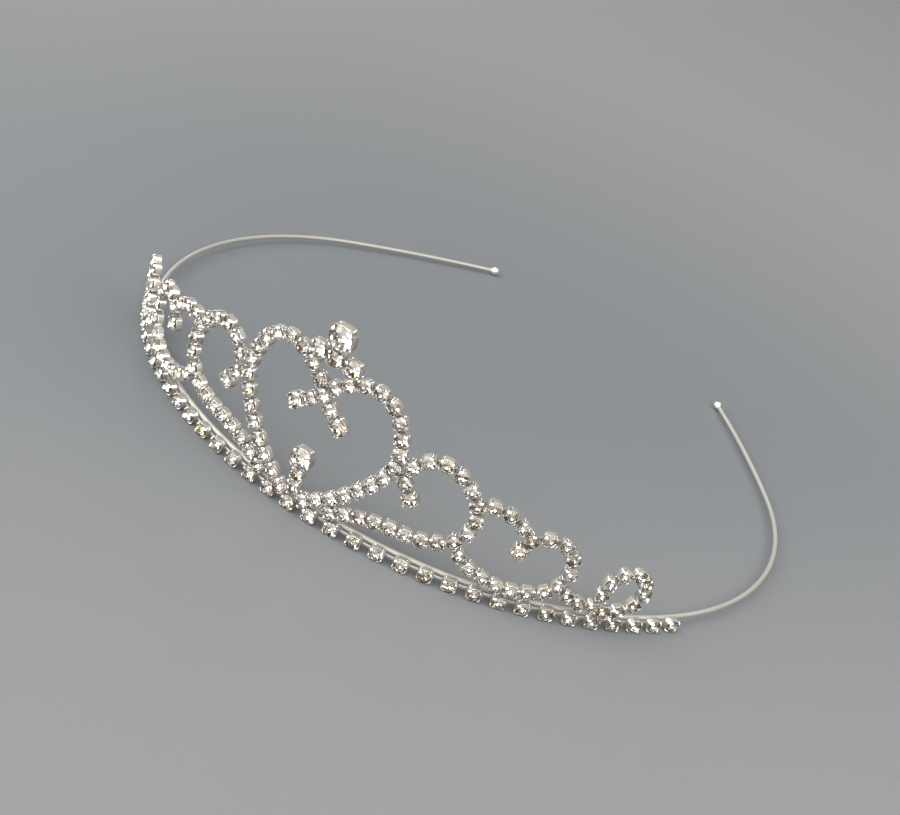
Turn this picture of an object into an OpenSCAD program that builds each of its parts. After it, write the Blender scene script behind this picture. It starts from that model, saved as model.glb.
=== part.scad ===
// A tiara headband: a sprung wire that is open at the back, with lengths of
// cup chain standing on its front arc. The chains form a lower row, a second row,
// a large middle heart with a stem inside it, and on each side a scroll, a smaller
// heart and an end loop. A crest of larger stones stands over the middle heart.
// Lengths are in millimetres. The front faces -Y and the open back faces +Y.

/* [Front] */
// Radius of the arc that the settings stand on
front_radius = 75; // [73:0.5:77]
// Outward lean of the whole front, in degrees
lean = 6.4; // [0:0.2:10]
// Spacing of the stones in the lower row
row_pitch = 4.8; // [4.7:0.1:4.9]
// Stones on each side of the middle one in the lower row
row_half = 17; // [15:1:18]
// Spacing of the stones in the close chains
chain_pitch = 3.1; // [3.05:0.05:3.15]

/* [Settings] */
// Outside width of a small setting
small_d = 2.7; // [2.5:0.1:2.7]
// Outside width of the settings that end a hook
hook_d = 2.9; // [2.7:0.1:2.9]
// Outside width of the crest's row and of the settings that end a curl
medium_d = 3.3; // [3:0.1:3.3]
// Outside width of the setting on top of the stem
stem_d = 4.2; // [3.8:0.1:4.2]
// Outside width of the setting at the very top
top_d = 5; // [4.6:0.1:5]
// Thickness of a setting's wall
wall = 0.12; // [0.1:0.01:0.14]
// Width of the bars that link the settings
link_w = 0.9; // [0.7:0.1:1.1]

/* [Headband] */
// Diameter of the headband's wire
wire_d = 1; // [0.8:0.1:1]
// Diameter of the balls on the wire's ends
ball_d = 2.3; // [1.8:0.1:2.4]
// Turn of the wire's round part, from the middle of the front to where a leg starts
wire_turn = 123; // [115:1:125]
// Length of each leg, along the wire
leg_length = 44; // [38:1:50]
// Radius of the legs' gentle bend
leg_radius = 300; // [200:10:400]
// Height of the wire above the middle of the lower row, at the front
wire_rise = 0.9; // [0.7:0.1:1.1]

/* [Hidden] */

silver = [0.80, 0.80, 0.81];
crystal = [0.90, 0.93, 0.96];

// Faces on curved metal
$fn = 32;
// Facets round a small stone, and round a large one
small_facets = 8;
large_facets = 12;
// Straight steps between two guide points of a curve
steps = 8;

// How far a setting's back lies behind the place where it is seated. Its rim lies in
// front of that place.
back = 0.7;
// Clear space between a stone's girdle and the rim below it, between the stone's point
// and the pocket's floor, and between the stone and the claws round it
girdle_gap = 0.15;
point_gap = 0.1;
claw_gap = 0.07;
// The stone covers the rim, but for this much all round
stone_inset = 0.04;
// How far the claws rise above the girdle
claw_rise = 0.2;
// Extra reach of a cut past the surface that it opens
cut = 0.1;
// Links lie inside the thickness of the settings' backs
link_front = 0.38;
link_t = 0.28;
// How far a link reaches into the setting at each of its ends
link_grip = 0.5;

function rim(d) = 0.25 * d;
function girdle(d) = rim(d) + girdle_gap;
function crown(d) = 0.16 * d;
function pavilion(d) = 0.36 * d;
function table_r(d) = 0.3 * d;
function stone_r(d) = d / 2 - stone_inset;
function pocket_r(d) = d / 2 - wall;
function pocket_floor(d) = pavilion(d) - girdle(d) + point_gap;
function claw_top(d) = girdle(d) + claw_rise;
// A setting's corners are rounded to this radius about its own axis
function corner_r(d) = 0.56 * d;
// Half the width of the openings between the claws
function claw_in(d) = 0.34 * d;

// The lower row's settings touch the surface at z = 0 with their front rims
row_z = small_d / 2 * cos(lean) + rim(small_d) * sin(lean);

// The wire passes behind the settings' backs
wire_gap = 0.05;
wire_r = front_radius - back - wire_gap - wire_d / 2;
wire_z = row_z + wire_rise;
leg_start = wire_turn - 90;
leg_turn = leg_length / leg_radius * 180 / PI;
tip_x = (wire_r - leg_radius) * cos(leg_start) + leg_radius * cos(leg_start + leg_turn);
tip_y = (wire_r - leg_radius) * sin(leg_start) + leg_radius * sin(leg_start + leg_turn);
// The wire falls from the front to its two balls, which touch the surface
fall = asin((wire_z - ball_d / 2) / (wire_r + tip_y));

// Each seat is [along the front from the middle, up the front from the lower row,
// outside width of the setting]. Each guide point of a curve is [along, up].
heart_guide = [
    [2.65, 2.2], [8, 6.25], [13.4, 12.6], [16.4, 19.6], [15, 26.4], [12.2, 30.1],
    [8.2, 31.3], [4.3, 29.7], [1.6, 27.2]
];
second_row_guide = [[8.3, 2.9], [12, 4.8], [18, 6.3], [24, 6.7], [28.3, 7.9]];
scroll_guide = [
    [19.2, 20.6], [21.3, 23.1], [24.3, 24.1], [28.2, 22.7], [31.6, 18.9], [32.9, 15],
    [32.3, 11.8], [30.95, 9.45]
];
side_bowl_guide = [[32.8, 7], [36, 4.9], [41, 3.4], [46, 3.4], [50.2, 4.9]];
side_outer_guide = [[52, 7.2], [52.8, 9.8], [52.2, 13.4], [49.6, 16.2], [46.2, 16.7]];
side_inner_guide = [[43.3, 15.4], [40.8, 17.6], [37.8, 19.2], [34.6, 19.6]];
end_loop_guide = [
    [60.4, 3.9], [61.2, 7], [61.6, 10.2], [64, 12.9], [67.2, 12.2], [69.6, 9],
    [69, 5.6], [66, 3.4], [63.2, 3]
];

// A point on a smooth curve from b to c, with neighbours a and d
function blend(a, b, c, d, t) =
    0.5 * (2 * b + (c - a) * t + (2 * a - 5 * b + 4 * c - d) * t * t
        + (3 * b - a - 3 * c + d) * t * t * t);
// A smooth curve through all the guide points, as short straight steps
function smooth(p) = [
    for (i = [0 : len(p) - 2])
        for (k = [0 : steps - 1])
            blend(p[max(i - 1, 0)], p[i], p[i + 1], p[min(i + 2, len(p) - 1)], k / steps),
    p[len(p) - 1]
];
// Distance of each point from the curve's start
function travel(p) = [
    for (i = 0, d = 0; i < len(p); d = d + (i < len(p) - 1 ? norm(p[i + 1] - p[i]) : 0), i = i + 1)
        d
];
// Seats for small settings, equally spaced along a curve and at both of its ends
function seats(guide) =
    let (
        p = smooth(guide),
        d = travel(p),
        total = d[len(d) - 1],
        gaps = round(total / chain_pitch),
        along = [for (i = [0 : len(p) - 1]) [d[i], p[i][0]]],
        up = [for (i = [0 : len(p) - 1]) [d[i], p[i][1]]]
    )
    [for (k = [0 : gaps]) [lookup(k * total / gaps, along), lookup(k * total / gaps, up), small_d]];
function mirrored(list) = [for (s = list) [-s[0], s[1], s[2]]];
function on_side(list, side) = side > 0 ? list : mirrored(list);

row_seats = [for (k = [-row_half : row_half]) [k * row_pitch, 0, small_d]];
second_row_seats = seats(second_row_guide);
heart_seats = seats(heart_guide);
cleft_seat = [0, 24.6, small_d];
tail_seat = [2.15, 22.6, small_d];
curl_seat = [4.65, 20.5, medium_d];
hook_start = [18.9, 16.9, small_d];
hook_seat = [20.8, 14, hook_d];
stem_seats = [[0, 3.9, small_d], [0, 6.9, small_d]];
stem_top_seat = [0, 10.5, stem_d];
crest_middle_seat = [0, 32.75, medium_d];
crest_side_seat = [3.52, 32.65, medium_d];
crest_row_seats = concat(mirrored([crest_side_seat]), [crest_middle_seat, crest_side_seat]);
top_seat = [0, 37.1, top_d];
scroll_seats = seats(scroll_guide);
side_heart_seats = concat(
    seats(side_bowl_guide), seats(side_outer_guide), seats(side_inner_guide)
);
side_cleft_seat = [side_inner_guide[0][0], side_inner_guide[0][1], small_d];
side_curl_seat = [42.1, 12.4, hook_d];
end_loop_seats = seats(end_loop_guide);
// Two settings join the side heart to the end loop
end_run_seats = [[54.4, 5.4, small_d], [57.3, 4.1, small_d]];

// Which setting of the heart, counted from its foot, carries the hook
hook_root = 7;

// The origin lies on the surface, below the middle of the whole tiara
front_reach = max(
    (rim(top_d) + girdle_gap + crown(top_d)) * cos(lean)
        + (top_seat[1] + table_r(top_d)) * sin(lean),
    rim(top_d) * cos(lean) + (top_seat[1] + top_d / 2) * sin(lean)
);
back_reach = front_radius + tip_y + ball_d / 2;
mid_y = (back_reach - front_reach) / 2;

// Puts a shape on the front at a seat. Its x runs along the front, its z up the
// front, and its -y faces out.
module on_front(seat) {
    translate([0, front_radius - mid_y, row_z])
        rotate([0, 0, seat[0] / front_radius * 180 / PI])
            translate([0, -front_radius, 0])
                rotate([lean, 0, 0])
                    translate([0, 0, seat[1]])
                        children();
}

// A square cup with a round pocket for the stone's point. Its rounded corners rise past
// the rim as four claws. The turn lines its sides up with the chain.
module setting(seat, turn) {
    d = seat[2];
    top = claw_top(d) + cut;
    on_front(seat)
        rotate([90, 0, 0])
            rotate(turn)
                difference() {
                    translate([0, 0, -back])
                        linear_extrude(back + claw_top(d))
                            intersection() {
                                square(d, center = true);
                                circle(corner_r(d));
                            }
                    translate([0, 0, -pocket_floor(d)])
                        cylinder(r = pocket_r(d), h = top + pocket_floor(d));
                    translate([0, 0, rim(d)]) {
                        cylinder(r = stone_r(d) + claw_gap, h = top);
                        for (side = [0, 90])
                            rotate(side)
                                translate([-claw_in(d), -d / 2 - cut, 0])
                                    cube([2 * claw_in(d), d + 2 * cut, top]);
                    }
                }
}

// Direction of a chain at one of its seats
function heading(list, i) =
    let (run = list[min(i + 1, len(list) - 1)] - list[max(i - 1, 0)])
    atan2(run[1], run[0]);

// A flat bar from one setting's back to the next one's
module link(a, b) {
    run = [b[0] - a[0], b[1] - a[1]];
    dir = run / norm(run);
    p = [a[0], a[1]] + dir * (a[2] / 2 - link_grip);
    q = [b[0], b[1]] - dir * (b[2] / 2 - link_grip);
    on_front((p + q) / 2)
        rotate([0, -atan2(dir[1], dir[0]), 0])
            translate([0, link_front + link_t / 2, 0])
                cube([norm(q - p), link_t, link_w], center = true);
}

// Settings with a link between each one and the next
module chain(list) {
    for (i = [0 : len(list) - 1])
        setting(list[i], heading(list, i));
    for (i = [0 : len(list) - 2])
        link(list[i], list[i + 1]);
}

// A round stone with a table, a double row of crown facets and a pointed back
module stone(d, facets) {
    turn = 360 / facets;
    girdle_ring = [
        for (i = [0 : facets - 1])
            [stone_r(d) * cos(i * turn), -girdle(d), stone_r(d) * sin(i * turn)]
    ];
    table_ring = [
        for (i = [0 : facets - 1])
            [table_r(d) * cos((i + 0.5) * turn), -girdle(d) - crown(d),
                table_r(d) * sin((i + 0.5) * turn)]
    ];
    point = [[0, pavilion(d) - girdle(d), 0]];
    polyhedron(
        points = concat(girdle_ring, table_ring, point),
        faces = concat(
            [[for (i = [0 : facets - 1]) 2 * facets - 1 - i]],
            [for (i = [0 : facets - 1]) [i, facets + i, (i + 1) % facets]],
            [for (i = [0 : facets - 1]) [(i + 1) % facets, facets + i, facets + (i + 1) % facets]],
            [for (i = [0 : facets - 1]) [i, (i + 1) % facets, 2 * facets]]
        )
    );
}

module small_stones(list) {
    color(crystal)
        for (s = list)
            on_front(s) stone(s[2], small_facets);
}

module large_stone(seat) {
    color(crystal)
        on_front(seat) stone(seat[2], large_facets);
}

// One leg of the wire, with the ball on its end
module leg() {
    rotate([0, 0, leg_start])
        translate([wire_r - leg_radius, 0, 0])
            rotate_extrude(angle = leg_turn)
                translate([leg_radius, 0])
                    circle(d = wire_d);
    translate([tip_x, tip_y, 0])
        sphere(d = ball_d);
}

// The wire is one piece from ball to ball
module headband() {
    color(silver)
        translate([0, front_radius - wire_r - mid_y, wire_z])
            rotate([-fall, 0, 0])
                translate([0, wire_r, 0]) {
                    rotate([0, 0, -90 - wire_turn])
                        rotate_extrude(angle = 2 * wire_turn)
                            translate([wire_r, 0])
                                circle(d = wire_d);
                    leg();
                    mirror([1, 0, 0]) leg();
                }
}

module lower_row_chain() {
    color(silver) chain(row_seats);
}

module lower_row_stones() {
    small_stones(row_seats);
}

module second_row_chain(side) {
    color(silver) chain(on_side(second_row_seats, side));
}

module second_row_stones(side) {
    small_stones(on_side(second_row_seats, side));
}

// One side of the heart, from its foot to the cleft, with its tail and hook
module heart_side(side) {
    curl = on_side([cleft_seat, tail_seat, curl_seat], side);
    hook = on_side([hook_start, hook_seat], side);
    list = on_side(heart_seats, side);
    chain(list);
    link(list[len(list) - 1], cleft_seat);
    for (i = [1, 2]) {
        setting(curl[i], heading(curl, i));
        link(curl[i - 1], curl[i]);
    }
    chain(hook);
    link(list[hook_root], hook[0]);
}

module heart_chain() {
    color(silver) {
        setting(cleft_seat, 45);
        heart_side(1);
        heart_side(-1);
    }
}

module heart_stones() {
    half = concat(heart_seats, [tail_seat, hook_start]);
    small_stones(concat([cleft_seat], half, mirrored(half)));
}

module stem_chain() {
    color(silver) chain(concat(stem_seats, [stem_top_seat]));
}

module stem_stones() {
    small_stones(stem_seats);
}

// Three settings side by side over the cleft, and a large one above them
module crest_settings() {
    color(silver) {
        chain(crest_row_seats);
        setting(top_seat, 0);
        link(crest_middle_seat, top_seat);
    }
}

module scroll_chain(side) {
    color(silver) chain(on_side(scroll_seats, side));
}

module scroll_stones(side) {
    small_stones(on_side(scroll_seats, side));
}

// The side heart is one length of chain, with a curled end hung in its cleft
module side_heart_chain(side) {
    curl = on_side([side_cleft_seat, side_curl_seat], side);
    color(silver) {
        chain(on_side(side_heart_seats, side));
        setting(curl[1], heading(curl, 1));
        link(curl[0], curl[1]);
    }
}

module side_heart_stones(side) {
    small_stones(on_side(side_heart_seats, side));
}

// The loop closes on its own first setting
module end_loop_chain(side) {
    list = on_side(concat(end_run_seats, end_loop_seats), side);
    color(silver) {
        chain(list);
        link(list[len(list) - 1], list[len(end_run_seats)]);
    }
}

module end_loop_stones(side) {
    small_stones(on_side(concat(end_run_seats, end_loop_seats), side));
}

headband();
lower_row_chain();
second_row_chain(-1);  // second_row_chain_left
second_row_chain(1);  // second_row_chain_right
heart_chain();
stem_chain();
crest_settings();
scroll_chain(-1);  // scroll_chain_left
scroll_chain(1);  // scroll_chain_right
side_heart_chain(-1);  // side_heart_chain_left
side_heart_chain(1);  // side_heart_chain_right
end_loop_chain(-1);  // end_loop_chain_left
end_loop_chain(1);  // end_loop_chain_right
lower_row_stones();
second_row_stones(-1);  // second_row_stones_left
second_row_stones(1);  // second_row_stones_right
heart_stones();
stem_stones();
scroll_stones(-1);  // scroll_stones_left
scroll_stones(1);  // scroll_stones_right
side_heart_stones(-1);  // side_heart_stones_left
side_heart_stones(1);  // side_heart_stones_right
end_loop_stones(-1);  // end_loop_stones_left
end_loop_stones(1);  // end_loop_stones_right
large_stone(mirrored([curl_seat])[0]);  // curl_stone_left
large_stone(curl_seat);  // curl_stone_right
large_stone(mirrored([hook_seat])[0]);  // hook_stone_left
large_stone(hook_seat);  // hook_stone_right
large_stone(mirrored([side_curl_seat])[0]);  // side_curl_stone_left
large_stone(side_curl_seat);  // side_curl_stone_right
large_stone(stem_top_seat);  // stem_top_stone
large_stone(mirrored([crest_side_seat])[0]);  // crest_stone_left
large_stone(crest_middle_seat);  // crest_stone_middle
large_stone(crest_side_seat);  // crest_stone_right
large_stone(top_seat);  // top_stone
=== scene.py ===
"""The looks of a rhinestone tiara on a sprung wire headband.

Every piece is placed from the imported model. The stones' places and axes are read from
its stone nodes, and the settings, bars and solder follow the stones. Lengths inside a
shape are in millimetres, and are turned to metres where the shape is placed.
"""

import math
import random

import bpy
from mathutils import Matrix, Vector
from mathutils.bvhtree import BVHTree


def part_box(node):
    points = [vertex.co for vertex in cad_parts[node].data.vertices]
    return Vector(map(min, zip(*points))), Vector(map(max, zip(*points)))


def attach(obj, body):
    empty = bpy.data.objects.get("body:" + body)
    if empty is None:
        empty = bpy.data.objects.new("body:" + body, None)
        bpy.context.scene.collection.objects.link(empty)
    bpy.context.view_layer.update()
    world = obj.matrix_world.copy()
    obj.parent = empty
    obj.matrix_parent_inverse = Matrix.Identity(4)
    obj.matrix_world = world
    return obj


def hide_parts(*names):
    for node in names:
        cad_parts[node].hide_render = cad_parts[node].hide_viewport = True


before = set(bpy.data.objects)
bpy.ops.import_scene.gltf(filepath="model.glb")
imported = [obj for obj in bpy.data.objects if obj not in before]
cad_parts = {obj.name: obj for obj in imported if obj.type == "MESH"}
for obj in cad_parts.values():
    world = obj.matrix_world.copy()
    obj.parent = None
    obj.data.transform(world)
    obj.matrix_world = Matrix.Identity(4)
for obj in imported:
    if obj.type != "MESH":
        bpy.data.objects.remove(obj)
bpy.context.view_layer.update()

MM = 0.001
BODY = "root"

# The photograph's frame and camera
PHOTO_WIDTH = 900
FOCAL_PIXELS = 1590
SENSOR_WIDTH = 36
CAMERA_PLACE = Vector((0.1020, -0.3031, 0.1538))
CAMERA_TARGET = Vector((0.0149, -0.0541, 0.0263))
CAMERA_ROLL = math.radians(24.0)
NEAR_CLIP = 0.01

# The lamps: a large soft one from each side, and small ones that make the stones sparkle
LAMPS = [
    # name, place, size, power, colour
    ("key", (-0.66, -0.76, 0.75), 1.0, 9.2, (1.0, 0.97, 0.92)),
    ("fill", (0.88, -0.15, 0.80), 0.8, 6.4, (1.0, 0.98, 0.95)),
]
SPARKLE_COUNT = 14
SPARKLE_DISTANCE = 1.1
SPARKLE_HEIGHTS = (0.3, 1.3)
SPARKLE_SIZE = 0.07
SPARKLE_POWER = 0.4
SPARKLE_COLOUR = (1.0, 0.96, 0.90)

# The room's panels. Chance gives each a level, which rises toward the bright side.
BRIGHT_SIDE = Vector((-0.34, -0.94, 0.75))
BRIGHT_RANGE = (0.1, 0.85)
BRIGHT_LIFT = (-0.28, 0.36)
PANEL_SCALE = 3.4
CHANCE_SHARE = 0.65
PANEL_TONES = [
    # level from which the colour holds, colour
    (0.0, (0.23, 0.22, 0.20)),
    (0.14, (0.53, 0.51, 0.475)),
    (0.42, (1.05, 1.015, 0.96)),
    (0.68, (4.0, 3.9, 3.75)),
]
ROOM_STRENGTH = 1.12

# The floor: its own colour far from the tiara, painted shade that makes it darker and
# cooler round the tiara, painted light that makes it lighter before it, and where these
# ease in
FLOOR_HALF = 40.0
FLOOR_ROUGHNESS = 0.6
# Painted shade: the floor darker and cooler round the tiara, and its own colour far away
FLOOR_PAINTED_SHADE = (0.104, 0.117, 0.130)
FLOOR_FAR = (0.159, 0.163, 0.171)
PAINTED_SHADE_RANGE = (0.02, 0.40)
# Painted light: the floor lighter before the tiara
FLOOR_PAINTED_LIGHT = (0.149, 0.155, 0.165)
PAINTED_LIGHT_RANGE = (-0.03, 0.13)
PAINTED_LIGHT_SIDE = (0.75, -0.66, 0.0)

# Which stones each length of chain holds
SIDES = ("left", "right")
CHAINS = {
    "lower_row_chain": ["lower_row_stones"],
    "heart_chain": [
        "heart_stones",
        "curl_stone_left",
        "curl_stone_right",
        "hook_stone_left",
        "hook_stone_right",
    ],
    "stem_chain": ["stem_stones", "stem_top_stone"],
    "crest_settings": [
        "crest_stone_left",
        "crest_stone_middle",
        "crest_stone_right",
        "top_stone",
    ],
}
for side in SIDES:
    for name in ("second_row", "scroll", "side_heart", "end_loop"):
        CHAINS[f"{name}_chain_{side}"] = [f"{name}_stones_{side}"]
    CHAINS[f"side_heart_chain_{side}"].append(f"side_curl_stone_{side}")

# A setting's measures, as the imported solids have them. Those with "share" grow with the
# setting's width, and the others are the same on every setting.
RIM_SHARE = 0.25
CROWN_SHARE = 0.16
DEPTH_SHARE = 0.36
TABLE_SHARE = 0.3
WALL = 0.12
STONE_INSET = 0.04
GIRDLE_GAP = 0.15
POINT_GAP = 0.1
BACK = 0.7
LINK_DEPTH = 0.52
LINK_WIDTH = 0.9
LINK_THICKNESS = 0.28

# What the scene refines on a setting, its claws and its stone
GIRDLE_SHARE = 0.018  # half the height of a stone's edge
CORNER_SHARE = 0.56  # radius, about the cup's own axis, that rounds its corners
CUP_SPACING = 0.12  # left between two close cups, which are a little longer than wide
CUP_STRETCH = 1.12  # the most that a cup is lengthened along its chain
SCALLOP = 0.14  # how far a rim dips between two claws
CLAW_DRAWN_FOR = 2.7  # width of the setting that the rows of claw_shape fit

# Bars and solder
LINK_REACH = 0.95  # of two settings' widths: the widest spacing that may have a bar
LINK_OVERLAP = 0.35  # how far a bar runs into each setting
LINK_WAIST = 0.22
LINK_ARCH = 0.05
LINK_STATIONS = 7
SOLDER_REACH = 0.8  # widest gap that a drop of solder closes
SOLDER_DEPTH = 0.5
SOLDER_OVERLAP = 0.2  # how far a drop runs into a setting
DROP_RADIUS = 0.4
DROP_CAP = 0.35  # of its radius, added to each end
WIRE_DROP_RADIUS = 0.55

# Sides of each round or flat tube and ball
CLAW_SIDES = 8
LINK_SIDES = 10
DROP_SIDES = 12
WIRE_SIDES = 16
BALL_SIDES = 28

# How unevenly the piece is made. Leans and twists are spreads in radians. The claws'
# ranges are in millimetres, and the others are shares.
CUP_LEAN = 0.012
CUP_TWIST = 0.02
CLAW_TWIST = 0.04
CLAW_LEANS = (-0.02, 0.05)
CLAW_LENGTHS = (-0.08, 0.08)
LINK_WIDTHS = (0.92, 1.0)
DROP_SIZES = (0.85, 1.1)
DROP_FLATNESS = (0.8, 1.0)
STONE_LEAN = 0.03

# The headband's wire
WIRE_RADIUS = 0.5
WIRE_TURN = math.radians(123)
LEG_LENGTH = 44
LEG_BEND = 300  # radius of a leg's curve
ARC_STEPS = 80
LEG_STEPS = 24
BALL_RADIUS = 1.15
COLLAR_RADII = (0.85, 0.72, 0.58, 0.5)
COLLAR_START = 0.75
COLLAR_STEP = 0.22

# Roughness and colour of silver plate where it is dull and where it is bright, and the
# depth of its dents in metres. The settings' dull plate is rougher, and its darker colour
# is painted shade
SETTING_DULL_SHADED = (0.50, (0.30, 0.295, 0.28))
SETTING_BRIGHT = (0.19, (0.87, 0.855, 0.82))
SETTING_DENTS = 0.000004
WIRE_DULL = (0.50, (0.40, 0.395, 0.375))
WIRE_BRIGHT = (0.20, (0.95, 0.93, 0.89))
WIRE_DENTS = 0.000002
PLATE_DRIFT = (0.82, 0.79, 0.74)
METALLIC_RANGE = (0.5, 1.0)
ROUGHNESS_DRIFT = (0.85, 1.15)

# Scale and detail of the patterns in the metal, the glass and the painted shade on the
# stones' edge
TONE_NOISE = (700, 3)
ROUGH_NOISE = (1500, 2)
DENT_NOISE = (1200, 2)
GLASS_NOISE = (300, 1)
GIRDLE_SHADE_NOISE = (900, 2)

# Polish, from dull at 0 to bright at 1. On the settings, low polish also darkens the
# colour: painted shade, fullest on the cups' flat walls
SHADED_WALL_POLISH = 0.0
CUP_POLISH = 0.8
LINK_POLISH = 0.6
DROP_POLISH = 0.8
WIRE_POLISH = 0.0
BALL_POLISH = 0.9
COLLAR_POLISH = 0.5

# The stones
# Painted reflections on the mirror foil: most facets light, some dark, and a few painted
# coloured glints
FOIL_PAINTED_SPARKLE = [
    # share of the facets below this colour, colour
    (0.0, (1.0, 0.985, 0.96)),
    (0.56, (0.93, 0.90, 0.85)),
    (0.76, (0.68, 0.61, 0.53)),
    (0.88, (0.34, 0.28, 0.23)),
    (0.983, (1.0, 0.86, 0.50)),
    (0.993, (0.50, 0.66, 1.0)),
]
FOIL_METALLIC = 0.88  # below 1, so that a path that ends in the stone isn't black
FOIL_ROUGHNESS = 0.03
GLASS_IOR = 1.58
GLASS_TONES = ((1.0, 0.99, 0.975), (0.985, 0.97, 0.95))
# Painted shade on the stones' edge
GIRDLE_SHADE_TONES = ((0.07, 0.055, 0.042), (0.18, 0.15, 0.12))
GIRDLE_SHADE_ROUGHNESS = 0.35


def per_face(value, count):
    """A list as it is, or one value repeated for each face."""
    return value if isinstance(value, list) else [value] * count


class Shape:
    """Corners and faces of a mesh that grows piece by piece."""

    def __init__(self):
        self.points = []
        self.faces = []
        self.slots = []
        self.tints = []
        self.polish = []
        self.flat = []

    def add(self, points, faces, place, slot=0, tint=0.5, polish=1.0, flat=()):
        """Adds corners in millimetres, moved by place, and the faces between them."""
        first = len(self.points)
        self.points += [place @ (Vector(p) * MM) for p in points]
        self.faces += [[first + i for i in face] for face in faces]
        self.slots += per_face(slot, len(faces))
        self.tints += per_face(tint, len(faces))
        self.polish += per_face(polish, len(faces))
        self.flat += [i in flat for i in range(len(faces))]

    def build(self, name, materials, sharp=None):
        """Makes the object. Edges sharper than the sharp angle stay crisp."""
        mesh = bpy.data.meshes.new(name)
        mesh.from_pydata(self.points, [], self.faces)
        for material in materials:
            mesh.materials.append(material)
        mesh.polygons.foreach_set("material_index", self.slots)
        for label, values in (("tint", self.tints), ("polish", self.polish)):
            layer = mesh.attributes.new(label, "FLOAT", "FACE")
            layer.data.foreach_set("value", values)
        if sharp is not None:
            mesh.polygons.foreach_set("use_smooth", [not flat for flat in self.flat])
            mesh.set_sharp_from_angle(angle=sharp)
        mesh.update()
        obj = bpy.data.objects.new(name, mesh)
        bpy.context.scene.collection.objects.link(obj)
        return obj


class Seat:
    """Where a stone sits: the middle of its girdle, its axis, its size and its facets."""

    def __init__(self, girdle, out, radius, facets):
        self.girdle = girdle
        self.out = out
        self.radius = radius
        self.facets = facets
        self.width = 2 * (radius + STONE_INSET)
        self.middle = girdle - out * (RIM_SHARE * self.width + GIRDLE_GAP) * MM
        self.along = None
        self.stretch = 1.0

    def behind(self, depth):
        """A point this far behind the middle."""
        return self.middle - self.out * depth * MM

    def place(self):
        """Puts x along the chain and z along the stone's axis."""
        turn = Matrix((self.along, self.out.cross(self.along), self.out)).transposed()
        return Matrix.Translation(self.middle) @ turn.to_4x4()


def wobble(draw, amount):
    """A small turn about the two axes across the stone's own."""
    first = Matrix.Rotation(draw.gauss(0, amount), 4, "X")
    return first @ Matrix.Rotation(draw.gauss(0, amount), 4, "Y")


def turned(angle):
    """A turn about the stone's axis."""
    return Matrix.Rotation(angle, 4, "Z")


def corner_groups(node):
    """The corners of each separate solid in a node's mesh, without repeats."""
    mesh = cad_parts[node].data
    owner = {}
    corners = []
    index = []
    for vertex in mesh.vertices:
        key = tuple(round(c * 1e6) for c in vertex.co)
        if key not in owner:
            owner[key] = len(corners)
            corners.append(vertex.co.copy())
        index.append(owner[key])
    parent = list(range(len(corners)))

    def root(i):
        while parent[i] != i:
            parent[i] = parent[parent[i]]
            i = parent[i]
        return i

    for edge in mesh.edges:
        a, b = (root(index[i]) for i in edge.vertices)
        parent[max(a, b)] = min(a, b)
    groups = {}
    for i, corner in enumerate(corners):
        groups.setdefault(root(i), []).append(corner)
    return [groups[key] for key in sorted(groups)]


def seat_from(corners):
    """Reads a stone's seat from its corners: a girdle ring, a table ring and a point."""
    middle = sum(corners, Vector()) / len(corners)
    facets = (len(corners) - 1) // 2
    best = None
    for tip in corners:
        axis = (middle - tip).normalized()
        reach = []
        for corner in corners:
            if corner is not tip:
                step = corner - tip
                reach.append(((step - axis * step.dot(axis)).length, corner))
        reach.sort(key=lambda item: item[0])
        spread = reach[facets - 1][0] - reach[0][0] + reach[-1][0] - reach[facets][0]
        if best is None or spread < best[0]:
            best = (spread, tip, [corner for _, corner in reach[facets:]])
    _, tip, ring = best
    girdle = sum(ring, Vector()) / facets
    radius = sum((corner - girdle).length for corner in ring) / facets / MM
    return Seat(girdle, (girdle - tip).normalized(), radius, facets)


def is_inside(tree, point):
    """True if a point lies inside the closed surface."""
    where, normal, _, _ = tree.find_nearest(point)
    return (point - where).dot(normal) < 0


def chain_links(node, seats):
    """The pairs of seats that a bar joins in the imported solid."""
    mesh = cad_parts[node].data
    tree = BVHTree.FromPolygons(
        [v.co for v in mesh.vertices], [tuple(p.vertices) for p in mesh.polygons]
    )
    links = []
    for i, a in enumerate(seats):
        for j in range(i + 1, len(seats)):
            b = seats[j]
            gap = (a.middle - b.middle).length / MM
            if gap < LINK_REACH * (a.width + b.width):
                middle = (a.behind(LINK_DEPTH) + b.behind(LINK_DEPTH)) / 2
                lift = (a.out + b.out).normalized() * LINK_THICKNESS / 4 * MM
                if any(is_inside(tree, middle + lift * k) for k in (-1, 0, 1)):
                    links.append((i, j))
    return links


def line_up(seats, links):
    """Turns each setting so that its sides face its neighbours as well as they can."""
    for i, seat in enumerate(seats):
        level = seat.out.cross(Vector((0, 0, 1))).normalized()
        up = seat.out.cross(level)
        total = [0.0, 0.0]
        nearest = CUP_STRETCH * seat.width + CUP_SPACING
        for pair in links:
            if i in pair:
                other = seats[pair[0] if pair[1] == i else pair[1]]
                step = other.middle - seat.middle
                share = seat.width / (seat.width + other.width)
                nearest = min(nearest, 2 * share * step.length / MM)
                angle = 4 * math.atan2(step.dot(up), step.dot(level))
                total[0] += math.cos(angle)
                total[1] += math.sin(angle)
        turn = math.atan2(total[1], total[0]) / 4
        seat.along = level * math.cos(turn) + up * math.sin(turn)
        seat.stretch = max(1.0, (nearest - CUP_SPACING) / seat.width)


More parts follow.
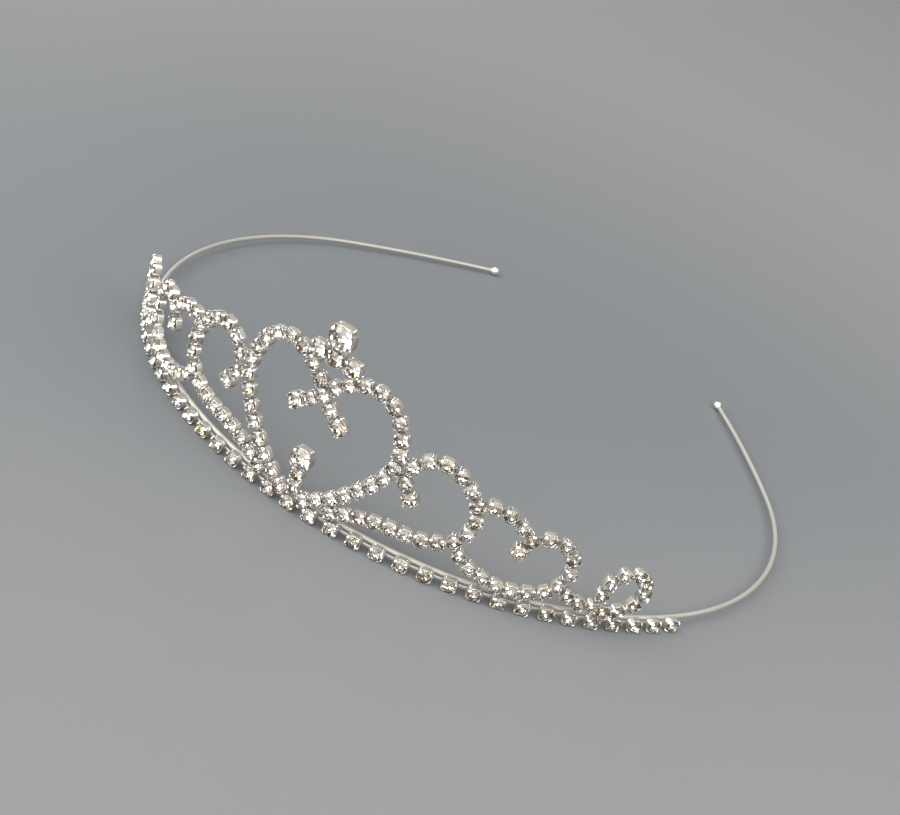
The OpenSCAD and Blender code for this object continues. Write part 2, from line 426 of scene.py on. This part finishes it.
def ring_faces(rings, count, first_cap, last_cap):
    """Quads between rings of count points, and fans to a middle point at each end."""
    faces = []
    for r in range(rings - 1):
        for i in range(count):
            j = (i + 1) % count
            a = r * count
            b = a + count
            faces.append([a + i, a + j, b + j, b + i])
    last = (rings - 1) * count
    for i in range(count):
        j = (i + 1) % count
        faces.append([first_cap, j, i])
        faces.append([last_cap, last + i, last + j])
    return faces


def tube_shape(path, sides):
    """A closed tube. Each path row has a middle, the two half widths as vectors, and
    the power that squares the section."""
    points = []
    for middle, wide, thick, power in path:
        for s in range(sides):
            angle = 2 * math.pi * (s + 0.5) / sides
            c, v = math.cos(angle), math.sin(angle)
            c = math.copysign(abs(c) ** power, c)
            v = math.copysign(abs(v) ** power, v)
            points.append(middle + wide * c + thick * v)
    points += [path[0][0], path[-1][0]]
    return points, ring_faces(len(path), sides, len(points) - 2, len(points) - 1)


def ball_shape(middle, radii, count):
    """A ball, or a drop with three different radii."""
    rings = count // 2 + 1
    points = []
    for r in range(rings):
        lean = math.pi * (r + 0.5) / rings
        for i in range(count):
            turn = 2 * math.pi * i / count
            points.append(
                middle
                + Vector(
                    (
                        radii.x * math.sin(lean) * math.cos(turn),
                        radii.y * math.sin(lean) * math.sin(turn),
                        -radii.z * math.cos(lean),
                    )
                )
            )
    top = Vector((0, 0, radii.z))
    points += [middle - top, middle + top]
    return points, ring_faces(rings, count, len(points) - 2, len(points) - 1)


def cup_shape(width):
    """A square cup with a dimpled back, and a rim that rises towards the corners.
    Returns its corners, its faces, and which faces are the flat walls."""
    half = width / 2
    pocket = half - WALL
    rim = RIM_SHARE * width
    floor = rim + GIRDLE_GAP + POINT_GAP - DEPTH_SHARE * width
    corner = CORNER_SHARE * width
    turn = math.acos(half / corner)  # where a flat side meets a rounded corner
    bend = math.pi / 4 - turn
    steps = (
        0,
        turn,
        turn + bend / 2,
        math.pi / 4,
        math.pi / 4 + bend / 2,
        math.pi / 2 - turn,
    )
    angles = [math.pi / 2 * quarter + step for quarter in range(4) for step in steps]
    count = len(angles)

    def square_reach(angle):
        return min(corner, half / max(abs(math.cos(angle)), abs(math.sin(angle))))

    def ring(height, square=None, circle=None, scallop=0.0):
        points = []
        for a in angles:
            reach = square * square_reach(a) if square else circle
            lift = -scallop * math.cos(2 * a) ** 2
            points.append((reach * math.cos(a), reach * math.sin(a), height + lift))
        return points

    # From the dimple in the back, up the outside, and down into the pocket
    rings = [
        ring(0.1 - BACK, circle=0.12 * width),
        ring(-BACK, circle=0.17 * width),
        ring(-BACK, square=0.88),
        ring(0.03 - BACK, square=0.95),
        ring(0.12 - BACK, square=0.985),
        ring(0.26 - BACK, square=1.0),
        ring(rim - 0.1, square=1.0, scallop=SCALLOP),
        ring(rim, square=0.98, scallop=SCALLOP),
        ring(rim, circle=pocket, scallop=SCALLOP),
        ring(0.2 * rim, circle=pocket - 0.03),
        ring(floor, circle=0.9 * pocket),
    ]
    points = [p for row in rings for p in row]
    points += [(0, 0, 0.12 - BACK), (0, 0, floor)]
    faces = ring_faces(len(rings), count, len(points) - 2, len(points) - 1)
    walls = range(4 * count, 6 * count)  # the two rows of faces on the outside
    sides = {i for i in walls if i % len(steps) in (0, len(steps) - 1)}
    return points, faces, sides


def claw_shape(width, lean, length):
    """One claw: a strip that rises past the girdle and bends over the stone."""
    rows = [
        # reach, height, half width, half thickness
        (1.42, 0.0, 0.34, 0.10),
        (1.45, 0.45, 0.34, 0.10),
        (1.46, 0.80, 0.33, 0.10),
        (1.43, 0.99, 0.32, 0.10),
        (1.33 - 0.5 * lean, 1.13, 0.30, 0.09),
        (1.19 - lean - length, 1.23, 0.26, 0.08),
        (1.08 - lean - length, 1.27, 0.18, 0.05),
    ]
    scale = width / CLAW_DRAWN_FOR
    path = []
    for i, (reach, height, wide, thick) in enumerate(rows):
        a = rows[max(i - 1, 0)]
        b = rows[min(i + 1, len(rows) - 1)]
        run = Vector((b[0] - a[0], 0, b[1] - a[1])).normalized()
        lift = Vector((-run.z, 0, run.x))
        middle = Vector((reach, 0, height)) * scale
        path.append((middle, Vector((0, wide * scale, 0)), lift * thick * scale, 0.9))
    return tube_shape(path, CLAW_SIDES)


def link_shape(length, width):
    """A flat bar with rounded edges and a slight waist, along x from 0 to length."""
    path = []
    for i in range(LINK_STATIONS):
        t = i / (LINK_STATIONS - 1)
        waist = 1 - LINK_WAIST * math.sin(math.pi * t)
        middle = Vector((t * length, 0, LINK_ARCH * math.sin(math.pi * t)))
        wide = Vector((0, -width / 2 * waist, 0))
        path.append((middle, wide, Vector((0, 0, LINK_THICKNESS / 2)), 0.6))
    return tube_shape(path, LINK_SIDES)


def stone_shape(radius, width, facets):
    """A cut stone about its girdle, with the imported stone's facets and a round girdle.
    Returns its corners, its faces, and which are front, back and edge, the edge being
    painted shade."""
    crown = CROWN_SHARE * width
    depth = DEPTH_SHARE * width
    table = TABLE_SHARE * width
    belt = GIRDLE_SHARE * width
    parts = 4 if facets == 8 else 3  # girdle corners to a facet
    count = parts * facets
    step = 2 * math.pi / facets
    front_ring = []
    back_ring = []
    for i in range(count):
        angle = i * step / parts
        off = radius * math.cos((i % parts) * step / parts - step / 2)
        front_height = belt + (crown - belt) * (radius - off) / (radius - table)
        back_height = -depth + (depth - belt) * off / radius
        x, y = radius * math.cos(angle), radius * math.sin(angle)
        front_ring.append((x, y, front_height))
        back_ring.append((x, y, back_height))
    table_ring = [
        (table * math.cos((i + 0.5) * step), table * math.sin((i + 0.5) * step), crown)
        for i in range(facets)
    ]
    points = front_ring + back_ring + table_ring + [(0, 0, -depth)]
    back, top, tip = count, 2 * count, 2 * count + facets
    faces = [[top + i for i in range(facets)]]
    kinds = [0]
    for i in range(facets):
        j = (i + 1) % facets
        edge = [(i * parts + k) % count for k in range(parts + 1)]
        faces.append(edge + [top + i])
        faces.append([edge[-1], top + j, top + i])
        faces.append([back + k for k in reversed(edge)] + [tip])
        kinds += [0, 0, 1]
        # The girdle's faces, which take the painted shade
        for a, b in zip(edge, edge[1:]):
            faces.append([back + a, back + b, b, a])
            kinds.append(2)
    return points, faces, kinds


def add_cup(shape, seat, draw):
    """Adds one setting with its four claws, each bent by its own amount."""
    place = seat.place() @ wobble(draw, CUP_LEAN) @ turned(draw.gauss(0, CUP_TWIST))
    place = place @ Matrix.Diagonal((seat.stretch, 1, 1, 1))
    points, faces, sides = cup_shape(seat.width)
    # The flat walls take dull plate: rougher, and darker, which is painted shade
    polish = [SHADED_WALL_POLISH if i in sides else CUP_POLISH for i in range(len(faces))]
    shape.add(points, faces, place, tint=draw.random(), polish=polish, flat=sides)
    for k in range(4):
        turn = turned(math.pi / 4 + k * math.pi / 2 + draw.gauss(0, CLAW_TWIST))
        lean = draw.uniform(*CLAW_LEANS)
        claw = claw_shape(seat.width, lean, draw.uniform(*CLAW_LENGTHS))
        shape.add(*claw, place @ turn, tint=draw.random())


def add_link(shape, a, b, draw):
    """Adds the bar between two settings, inside the thickness of their backs."""
    run = b.behind(LINK_DEPTH) - a.behind(LINK_DEPTH)
    length = run.length / MM - (a.width + b.width) / 2 + 2 * LINK_OVERLAP
    run.normalize()
    out = (a.out + b.out).normalized()
    out = (out - run * out.dot(run)).normalized()
    start = a.behind(LINK_DEPTH) + run * (a.width / 2 - LINK_OVERLAP) * MM
    turn = Matrix((run, out.cross(run), out)).transposed().to_4x4()
    bar = link_shape(length, LINK_WIDTH * draw.uniform(*LINK_WIDTHS))
    place = Matrix.Translation(start) @ turn
    shape.add(*bar, place, tint=draw.random(), polish=LINK_POLISH)


def add_stone(shape, seat, draw):
    """Adds one stone, turned and tilted a little in its setting."""
    points, faces, kinds = stone_shape(seat.radius, seat.width, seat.facets)
    place = seat.place()
    place.translation = seat.girdle
    place = place @ wobble(draw, STONE_LEAN) @ turned(draw.uniform(0, 2 * math.pi))
    # Each facet's draw picks its foil colour from the painted reflections
    tints = [draw.random() for _ in faces]
    shape.add(points, faces, place, slot=kinds, tint=tints)


def add_drop(shape, start, end, radius, draw):
    """Adds a drop of solder that bridges two points."""
    run = end - start
    length = run.length / MM
    turn = run.to_track_quat("Z", "Y").to_matrix().to_4x4()
    place = Matrix.Translation((start + end) / 2) @ turn
    radius *= draw.uniform(*DROP_SIZES)
    thin = radius * draw.uniform(*DROP_FLATNESS)
    radii = Vector((radius, thin, length / 2 + DROP_CAP * radius))
    ball = ball_shape(Vector(), radii, DROP_SIDES)
    shape.add(*ball, place, tint=draw.random(), polish=DROP_POLISH)


def new_material(name):
    """A material with its nodes, its links and its main shader."""
    material = bpy.data.materials.new(name)
    material.use_nodes = True
    tree = material.node_tree
    return material, tree.nodes, tree.links, tree.nodes["Principled BSDF"]


def face_value(nodes, label):
    """A number that each face carries."""
    node = nodes.new("ShaderNodeAttribute")
    node.attribute_name = label
    return node.outputs["Fac"]


def mapped(nodes, links, value, low, high):
    """A value from 0 to 1, spread from low to high."""
    node = nodes.new("ShaderNodeMapRange")
    node.inputs["To Min"].default_value = low
    node.inputs["To Max"].default_value = high
    links.new(value, node.inputs["Value"])
    return node.outputs["Result"]


def eased(nodes, links, value, span, low=0.0, high=1.0):
    """A value that eases from low to high over the span."""
    node = nodes.new("ShaderNodeMapRange")
    node.interpolation_type = "SMOOTHSTEP"
    node.inputs["From Min"].default_value = span[0]
    node.inputs["From Max"].default_value = span[1]
    node.inputs["To Min"].default_value = low
    node.inputs["To Max"].default_value = high
    links.new(value, node.inputs["Value"])
    return node.outputs["Result"]


def toward(nodes, links, place, side):
    """How far a place lies toward a side."""
    node = nodes.new("ShaderNodeVectorMath")
    node.operation = "DOT_PRODUCT"
    node.inputs[1].default_value = side
    links.new(place, node.inputs[0])
    return node.outputs["Value"]


def noise(nodes, links, scale, detail):
    """A cloud pattern fixed to the object."""
    place = nodes.new("ShaderNodeTexCoord").outputs["Object"]
    cloud = nodes.new("ShaderNodeTexNoise")
    cloud.inputs["Scale"].default_value = scale
    cloud.inputs["Detail"].default_value = detail
    links.new(place, cloud.inputs["Vector"])
    return cloud.outputs["Fac"]


def two_colours(nodes, links, factor, first, second, blend="MIX"):
    """A blend of two colours, of which the first may come from another node."""
    mix = nodes.new("ShaderNodeMix")
    mix.data_type = "RGBA"
    mix.blend_type = blend
    if isinstance(first, tuple):
        mix.inputs["A"].default_value = (*first, 1)
    else:
        links.new(first, mix.inputs["A"])
    mix.inputs["B"].default_value = (*second, 1)
    links.new(factor, mix.inputs["Factor"])
    return mix.outputs["Result"]


def stepped_colours(nodes, stops):
    """A ramp that jumps from one colour to the next."""
    ramp = nodes.new("ShaderNodeValToRGB")
    ramp.color_ramp.interpolation = "CONSTANT"
    elements = ramp.color_ramp.elements
    while len(elements) < len(stops):
        elements.new(1.0)
    for element, (where, colour) in zip(elements, stops):
        element.position = where
        element.color = (*colour, 1)
    return ramp


def product(nodes, links, a, b):
    """Two values multiplied."""
    node = nodes.new("ShaderNodeMath")
    node.operation = "MULTIPLY"
    links.new(a, node.inputs[0])
    links.new(b, node.inputs[1])
    return node.outputs["Value"]


def fine_bump(nodes, links, shader, height, depth):
    """Dents of this depth in metres."""
    bump = nodes.new("ShaderNodeBump")
    bump.inputs["Strength"].default_value = 1.0
    bump.inputs["Distance"].default_value = depth
    links.new(height, bump.inputs["Height"])
    links.new(bump.outputs["Normal"], shader.inputs["Normal"])


def silver_material(name, dull, bright, dent):
    """Silver plate. Each face's polish leads from the dull roughness and colour to the
    bright ones, and the tone drifts from cup to cup. On the settings, the darker dull
    colour is painted shade."""
    material, nodes, links, shader = new_material(name)
    polish = face_value(nodes, "polish")
    links.new(mapped(nodes, links, polish, *METALLIC_RANGE), shader.inputs["Metallic"])
    plate = two_colours(nodes, links, polish, dull[1], bright[1])
    tone = noise(nodes, links, *TONE_NOISE)
    drift = product(nodes, links, tone, face_value(nodes, "tint"))
    colour = two_colours(nodes, links, drift, plate, PLATE_DRIFT, "MULTIPLY")
    links.new(colour, shader.inputs["Base Color"])
    rough = mapped(nodes, links, polish, dull[0], bright[0])
    rub = noise(nodes, links, *ROUGH_NOISE)
    uneven = mapped(nodes, links, rub, *ROUGHNESS_DRIFT)
    links.new(product(nodes, links, rough, uneven), shader.inputs["Roughness"])
    fine_bump(nodes, links, shader, noise(nodes, links, *DENT_NOISE), dent)
    return material


def glass_material():
    """The front of a stone: clear glass with a trace of warmth, slightly uneven."""
    material, nodes, links, shader = new_material("crystal_front")
    drift = noise(nodes, links, *GLASS_NOISE)
    colour = two_colours(nodes, links, drift, *GLASS_TONES)
    links.new(colour, shader.inputs["Base Color"])
    shader.inputs["Roughness"].default_value = 0.0
    shader.inputs["IOR"].default_value = GLASS_IOR
    shader.inputs["Transmission Weight"].default_value = 1.0
    return material


def foil_and_sparkle_material():
    """The mirrored back of a stone. Its facets' colours differ as painted reflections,
    light and dark, and a few are painted coloured glints.
    """
    material, nodes, links, shader = new_material("crystal_foil_painted_sparkle")
    shader.inputs["Metallic"].default_value = FOIL_METALLIC
    shader.inputs["Roughness"].default_value = FOIL_ROUGHNESS
    ramp = stepped_colours(nodes, FOIL_PAINTED_SPARKLE)
    links.new(face_value(nodes, "tint"), ramp.inputs["Fac"])
    links.new(ramp.outputs["Color"], shader.inputs["Base Color"])
    return material


def girdle_shade_material():
    """The thin dark line round a stone's edge: painted shade between the stone and its
    setting.
    """
    material, nodes, links, shader = new_material("crystal_girdle_shade")
    drift = noise(nodes, links, *GIRDLE_SHADE_NOISE)
    colour = two_colours(nodes, links, drift, *GIRDLE_SHADE_TONES)
    links.new(colour, shader.inputs["Base Color"])
    shader.inputs["Roughness"].default_value = GIRDLE_SHADE_ROUGHNESS
    return material


def wire_path():
    """The headband's flat centreline from ball to ball, about the middle of its arc."""
    low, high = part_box("headband")
    radius = (high.x - low.x) / 2 / MM - WIRE_RADIUS
    half = []
    for i in range(ARC_STEPS + 1):
        turn = WIRE_TURN * i / ARC_STEPS - math.pi / 2
        half.append(Vector((radius * math.cos(turn), radius * math.sin(turn), 0)))
    start = WIRE_TURN - math.pi / 2
    hub = Vector((math.cos(start), math.sin(start), 0)) * (radius - LEG_BEND)
    for i in range(1, LEG_STEPS + 1):
        turn = start + LEG_LENGTH / LEG_BEND * i / LEG_STEPS
        half.append(hub + Vector((math.cos(turn), math.sin(turn), 0)) * LEG_BEND)
    return [Vector((-p.x, p.y, 0)) for p in reversed(half[1:])] + half, radius


def wire_place(path, radius):
    """Leans the flat wire from its front place down to the two balls on the floor."""
    low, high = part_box("headband")
    front = Vector((0, low.y / MM + WIRE_RADIUS, high.z / MM - WIRE_RADIUS))
    fall = math.asin((front.z - BALL_RADIUS) / (radius + path[-1].y))
    lean = Matrix.Rotation(-fall, 4, "X")
    back = Matrix.Translation(Vector((0, radius, 0)) * MM)
    return Matrix.Translation(front * MM) @ lean @ back


def add_headband(material, draw):
    """The wire as one smooth tube with a ball on each end. Returns its centreline."""
    flat, radius = wire_path()
    place = wire_place(flat, radius)
    path = []
    for i, point in enumerate(flat):
        ahead = (flat[min(i + 1, len(flat) - 1)] - flat[max(i - 1, 0)]).normalized()
        across = Vector((-ahead.y, ahead.x, 0)) * WIRE_RADIUS
        path.append((point, across, Vector((0, 0, WIRE_RADIUS)), 1.0))
    shape = Shape()
    shape.add(*tube_shape(path, WIRE_SIDES), place, polish=WIRE_POLISH)
    for tip, inner in ((flat[0], flat[1]), (flat[-1], flat[-2])):
        inward = (inner - tip).normalized()
        ball = ball_shape(tip, Vector((BALL_RADIUS,) * 3), BALL_SIDES)
        shape.add(*ball, place, tint=draw.random(), polish=BALL_POLISH)
        rows = []
        for k, wide in enumerate(COLLAR_RADII):
            middle = tip + inward * (COLLAR_START + COLLAR_STEP * k)
            across = Vector((-inward.y, inward.x, 0)) * wide
            rows.append((middle, across, Vector((0, 0, wide)), 1.0))
        collar = tube_shape(rows, WIRE_SIDES)
        shape.add(*collar, place, tint=draw.random(), polish=COLLAR_POLISH)
    obj = shape.build("headband_wire", [material], sharp=math.radians(50))
    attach(obj, BODY)
    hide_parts("headband")
    return [place @ (p * MM) for p in flat]


def read_chains():
    """The seats and bars of every length of chain."""
    found = {}
    for node, stones in CHAINS.items():
        seats = []
        for label in stones:
            for corners in corner_groups(label):
                seat = seat_from(corners)
                seat.stones = label
                seats.append(seat)
        links = chain_links(node, seats)
        line_up(seats, links)
        found[node] = (seats, links)
        print(node, len(seats), "seats", len(links), "bars")
    return found


def add_solder(shape, node, chains, wire, draw):
    """Adds drops between this chain and those after it, and between it and the wire."""
    names = list(chains)
    for seat in chains[node][0]:
        for other_name in names[names.index(node) + 1 :]:
            for other in chains[other_name][0]:
                a, b = seat.behind(SOLDER_DEPTH), other.behind(SOLDER_DEPTH)
                run = b - a
                gap = run.length / MM - (seat.width + other.width) / 2
                if gap < SOLDER_REACH:
                    run.normalize()
                    start = a + run * (seat.width / 2 - SOLDER_OVERLAP) * MM
                    end = b - run * (other.width / 2 - SOLDER_OVERLAP) * MM
                    add_drop(shape, start, end, DROP_RADIUS, draw)
        back = seat.behind(BACK)
        near = min(wire, key=lambda p: (p - back).length)
        if (near - back).length / MM < WIRE_RADIUS + SOLDER_REACH:
            inner = seat.behind(BACK - SOLDER_OVERLAP)
            add_drop(shape, near, inner, WIRE_DROP_RADIUS, draw)


def add_chain(node, chains, wire, metal, glass, draw):
    """Replaces a length of chain, and its stones, by detailed pieces."""
    seats, links = chains[node]
    shape = Shape()
    for seat in seats:
        add_cup(shape, seat, draw)
    for i, j in links:
        add_link(shape, seats[i], seats[j], draw)
    add_solder(shape, node, chains, wire, draw)
    obj = shape.build(node + "_metal", [metal], sharp=math.radians(40))
    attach(obj, BODY)
    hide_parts(node)
    for stones in CHAINS[node]:
        shape = Shape()
        for seat in seats:
            if seat.stones == stones:
                add_stone(shape, seat, draw)
        obj = shape.build(stones + "_cut", glass)
        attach(obj, BODY)
        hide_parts(stones)


def add_camera():
    """The photograph's view, with the roll that its leaning tiara gives it."""
    data = bpy.data.cameras.new("camera")
    data.sensor_fit = "HORIZONTAL"
    data.sensor_width = SENSOR_WIDTH
    data.lens = FOCAL_PIXELS / PHOTO_WIDTH * SENSOR_WIDTH
    data.clip_start = NEAR_CLIP
    camera = bpy.data.objects.new("camera", data)
    bpy.context.scene.collection.objects.link(camera)
    level = (CAMERA_TARGET - CAMERA_PLACE).to_track_quat("-Z", "Y").to_matrix()
    turn = level @ Matrix.Rotation(CAMERA_ROLL, 3, "Z")
    camera.matrix_world = Matrix.Translation(CAMERA_PLACE) @ turn.to_4x4()
    bpy.context.scene.camera = camera


def add_floor():
    """A grey floor, with painted shade that makes it cooler and darker round the tiara,
    and painted light that makes it lighter before it.
    """
    material, nodes, links, shader = new_material("floor")
    place = nodes.new("ShaderNodeTexCoord").outputs["Object"]
    away = nodes.new("ShaderNodeVectorMath")
    away.operation = "LENGTH"
    links.new(place, away.inputs[0])
    # Painted shade round the tiara, easing into the floor's own colour far away
    shade_fade = eased(nodes, links, away.outputs["Value"], PAINTED_SHADE_RANGE)
    colour = two_colours(nodes, links, shade_fade, FLOOR_PAINTED_SHADE, FLOOR_FAR)
    # Painted light before the tiara
    before = eased(nodes, links, toward(nodes, links, place, PAINTED_LIGHT_SIDE), PAINTED_LIGHT_RANGE)
    colour = two_colours(nodes, links, before, colour, FLOOR_PAINTED_LIGHT)
    links.new(colour, shader.inputs["Base Color"])
    shader.inputs["Roughness"].default_value = FLOOR_ROUGHNESS
    half = FLOOR_HALF
    mesh = bpy.data.meshes.new("floor")
    mesh.from_pydata(
        [(-half, -half, 0), (half, -half, 0), (half, half, 0), (-half, half, 0)],
        [],
        [[0, 1, 2, 3]],
    )
    mesh.materials.append(material)
    floor = bpy.data.objects.new("floor", mesh)
    bpy.context.scene.collection.objects.link(floor)


def add_lamp(name, place, size, power, colour):
    """A round lamp that faces the tiara."""
    data = bpy.data.lights.new(name, "AREA")
    data.shape = "DISK"
    data.size = size
    data.energy = power
    data.color = colour
    lamp = bpy.data.objects.new(name, data)
    bpy.context.scene.collection.objects.link(lamp)
    aim = (CAMERA_TARGET - Vector(place)).to_track_quat("-Z", "Y").to_matrix()
    lamp.matrix_world = Matrix.Translation(place) @ aim.to_4x4()


def add_room():
    """The studio round the tiara: soft panels of differing brightness, with most of the
    bright ones before it."""
    world = bpy.data.worlds.new("room")
    bpy.context.scene.world = world
    world.use_nodes = True
    nodes = world.node_tree.nodes
    links = world.node_tree.links
    place = nodes.new("ShaderNodeTexCoord").outputs["Generated"]
    cells = nodes.new("ShaderNodeTexVoronoi")
    cells.inputs["Scale"].default_value = PANEL_SCALE
    links.new(place, cells.inputs["Vector"])
    split = nodes.new("ShaderNodeSeparateColor")
    links.new(cells.outputs["Color"], split.inputs["Color"])
    front = toward(nodes, links, place, BRIGHT_SIDE.normalized())
    level = nodes.new("ShaderNodeMath")
    level.operation = "MULTIPLY_ADD"
    level.inputs[1].default_value = CHANCE_SHARE
    links.new(split.outputs["Red"], level.inputs[0])
    links.new(eased(nodes, links, front, BRIGHT_RANGE, *BRIGHT_LIFT), level.inputs[2])
    ramp = stepped_colours(nodes, PANEL_TONES)
    links.new(level.outputs["Value"], ramp.inputs["Fac"])
    background = nodes["Background"]
    links.new(ramp.outputs["Color"], background.inputs["Color"])
    background.inputs["Strength"].default_value = ROOM_STRENGTH


def add_lights():
    """The soft lamps, and a ring of small ones at differing heights."""
    for lamp in LAMPS:
        add_lamp(*lamp)
    draw = random.Random(5)
    for i in range(SPARKLE_COUNT):
        turn = 2 * math.pi * (i + draw.uniform(-0.3, 0.3)) / SPARKLE_COUNT
        x = SPARKLE_DISTANCE * math.cos(turn)
        y = SPARKLE_DISTANCE * math.sin(turn)
        place = (x, y, draw.uniform(*SPARKLE_HEIGHTS))
        add_lamp(f"sparkle_{i}", place, SPARKLE_SIZE, SPARKLE_POWER, SPARKLE_COLOUR)
    add_room()


def main():
    """Builds the scene."""
    add_camera()
    add_floor()
    add_lights()
    bpy.context.scene.view_settings.view_transform = "Standard"
    draw = random.Random(11)
    metal = silver_material(
        "silver_settings", SETTING_DULL_SHADED, SETTING_BRIGHT, SETTING_DENTS
    )
    wire_metal = silver_material("silver_wire", WIRE_DULL, WIRE_BRIGHT, WIRE_DENTS)
    glass = [glass_material(), foil_and_sparkle_material(), girdle_shade_material()]
    wire = add_headband(wire_metal, draw)
    chains = read_chains()
    for node in chains:
        add_chain(node, chains, wire, metal, glass, draw)


main()
